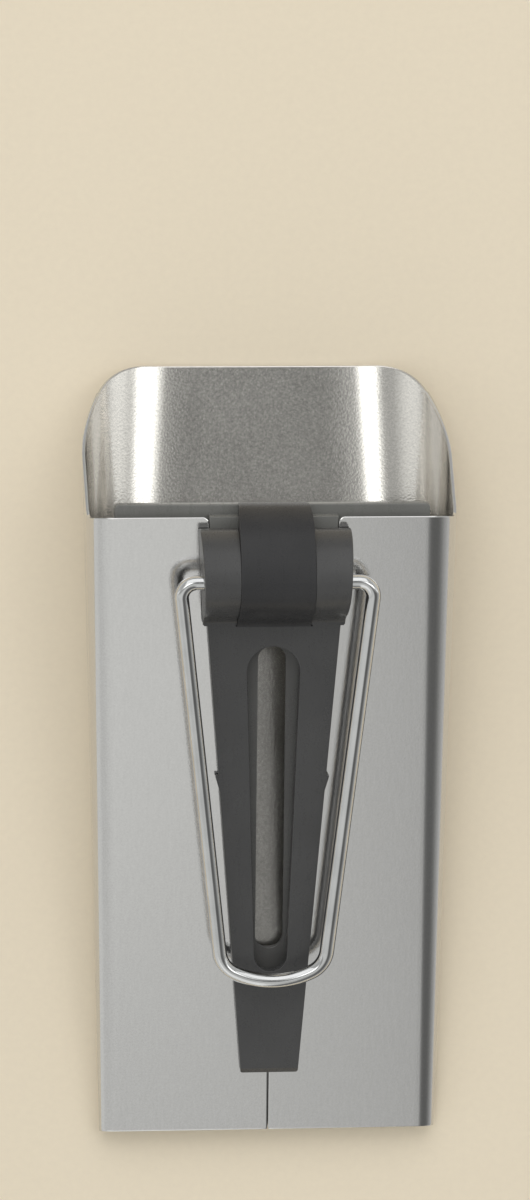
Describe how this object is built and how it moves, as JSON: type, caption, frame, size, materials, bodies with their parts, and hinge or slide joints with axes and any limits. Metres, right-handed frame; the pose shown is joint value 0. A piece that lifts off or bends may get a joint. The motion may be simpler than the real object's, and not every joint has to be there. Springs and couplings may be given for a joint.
{
  "type": "bias tape maker",
  "caption": "Hand tool that folds a strip of cloth into bias tape: a tapering folded sheet-metal shell with a plastic guide tongue, an inner folding plate and a hinged wire handle.",
  "frame": {"origin": "on the resting plane, under the middle of the shell", "axes": "+Y along the shell towards the wide entry end, +X to the right seen from above with +Y up, +Z up through the flaps"},
  "size_m": [0.056, 0.117, 0.0304],
  "materials": {
    "plated_steel": "satin plated sheet steel with a fine grain",
    "black_plastic": "moulded charcoal black plastic, fine matte texture",
    "dark_plastic": "moulded dark grey plastic, fine matte texture",
    "chrome_wire": "bright plated wire"
  },
  "bodies": {
    "body": {"body_shell": "plated_steel", "guide_tongue": "black_plastic", "folding_plate": "dark_plastic"},
    "handle": {"wire_handle": "chrome_wire"}
  },
  "joints": [
    {"name": "handle_hinge", "type": "hinge", "parent": "body", "child": "handle", "pos_m": [0, 0.0251, 0.02807], "axis": [-1, 0, 0], "range_deg": [-2.7, 192]}
  ]
}
